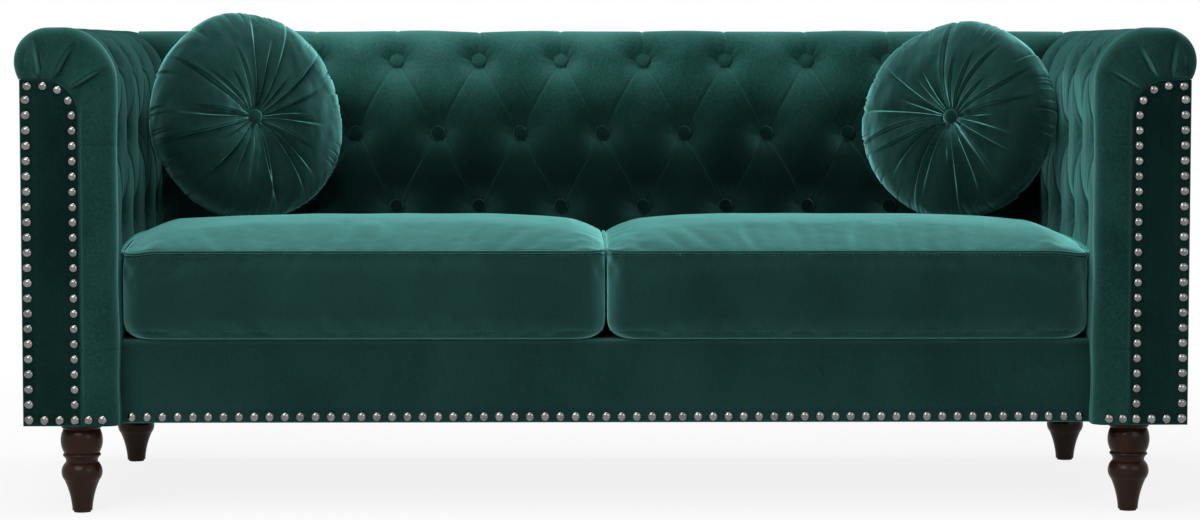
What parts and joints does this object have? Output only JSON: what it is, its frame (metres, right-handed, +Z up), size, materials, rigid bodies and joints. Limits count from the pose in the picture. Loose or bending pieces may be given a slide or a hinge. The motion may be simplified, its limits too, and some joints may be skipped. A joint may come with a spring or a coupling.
{
  "type": "sofa",
  "caption": "Velvet sofa with rolled arms, diamond-tufted back and arms, nail-trimmed facings, loose seat cushions, round pleated pillows and turned wooden legs.",
  "frame": {"origin": "on the floor, under the middle of the sofa's bounding box", "axes": "+X to the viewer's right along the seat, -Y out of the front, +Z up"},
  "size_m": [1.9518, 0.7801, 0.8259],
  "materials": {
    "velvet": "deep green velvet pile",
    "foam": "polyurethane foam",
    "fibre_fill": "polyester fibre",
    "felt": "needle felt",
    "deck_cloth": "woven lining",
    "dust_cloth": "non-woven cloth",
    "webbing": "elastic webbing",
    "zip_tape": "woven tape",
    "zip_metal": "plated",
    "nail": "polished dome",
    "steel": "plain",
    "leg_wood": "dark brown lacquer",
    "frame_wood": "unfinished",
    "hardboard": "unfinished",
    "glide": "moulded"
  },
  "bodies": {
    "frame": {"apron_cover": "velvet", "apron_nails": "nail", "arm_bottom_rails": "frame_wood", "arm_front_boards": "frame_wood", "arm_inner_panels": "hardboard", "arm_outer_panels": "hardboard", "arm_rear_boards": "frame_wood", "arm_side_rails": "frame_wood", "arm_top_boards": "frame_wood", "back_buttons": "velvet", "back_cover": "velvet", "back_foam": "foam", "back_lower_rail": "frame_wood", "back_posts": "frame_wood", "back_top_rail": "frame_wood", "back_webbing": "webbing", "corner_blocks": "frame_wood", "deck_cloth": "deck_cloth", "deck_pad": "felt", "dust_cover": "dust_cloth", "frame_bolts": "steel", "hanger_bolts": "steel", "left_arm_buttons": "velvet", "left_arm_cover": "velvet", "left_arm_facing": "velvet", "left_arm_foam": "foam", "left_arm_nails": "nail", "left_arm_outside_cover": "velvet", "left_front_leg": "leg_wood", "left_rear_leg": "leg_wood", "leg_glides": "glide", "leg_nuts": "steel", "outside_back_cover": "velvet", "right_arm_buttons": "velvet", "right_arm_cover": "velvet", "right_arm_facing": "velvet", "right_arm_foam": "foam", "right_arm_nails": "nail", "right_arm_outside_cover": "velvet", "right_front_leg": "leg_wood", "right_rear_leg": "leg_wood", "seat_back_rail": "frame_wood", "seat_front_rail": "frame_wood", "seat_springs": "steel", "seat_stretchers": "frame_wood", "spring_clips": "steel"},
    "left_seat_cushion": {"left_cushion_cover": "velvet", "left_cushion_foam": "foam", "left_zip_tape": "zip_tape"},
    "left_zip": {"left_zip_slider": "zip_metal"},
    "left_pillow": {"left_pillow_cover": "velvet", "left_pillow_fill": "fibre_fill", "left_pillow_buttons": "velvet"},
    "right_seat_cushion": {"right_cushion_cover": "velvet", "right_cushion_foam": "foam", "right_zip_tape": "zip_tape"},
    "right_zip": {"right_zip_slider": "zip_metal"},
    "right_pillow": {"right_pillow_cover": "velvet", "right_pillow_fill": "fibre_fill", "right_pillow_buttons": "velvet"}
  },
  "joints": [
    {"name": "left_cushion_lift", "type": "slide", "parent": "frame", "child": "left_seat_cushion", "axis": [0, 0, 1], "range_m": [0, 0.55]},
    {"name": "left_pillow_lift", "type": "slide", "parent": "left_seat_cushion", "child": "left_pillow", "axis": [0, 0, 1], "range_m": [0, 0.36]},
    {"name": "left_zip_slide", "type": "slide", "parent": "left_seat_cushion", "child": "left_zip", "axis": [-1, 0, 0], "range_m": [0, 0.6]},
    {"name": "right_cushion_lift", "type": "slide", "parent": "frame", "child": "right_seat_cushion", "axis": [0, 0, 1], "range_m": [0, 0.55]},
    {"name": "right_pillow_lift", "type": "slide", "parent": "right_seat_cushion", "child": "right_pillow", "axis": [0, 0, 1], "range_m": [0, 0.36]},
    {"name": "right_zip_slide", "type": "slide", "parent": "right_seat_cushion", "child": "right_zip", "axis": [1, 0, 0], "range_m": [0, 0.6]}
  ]
}
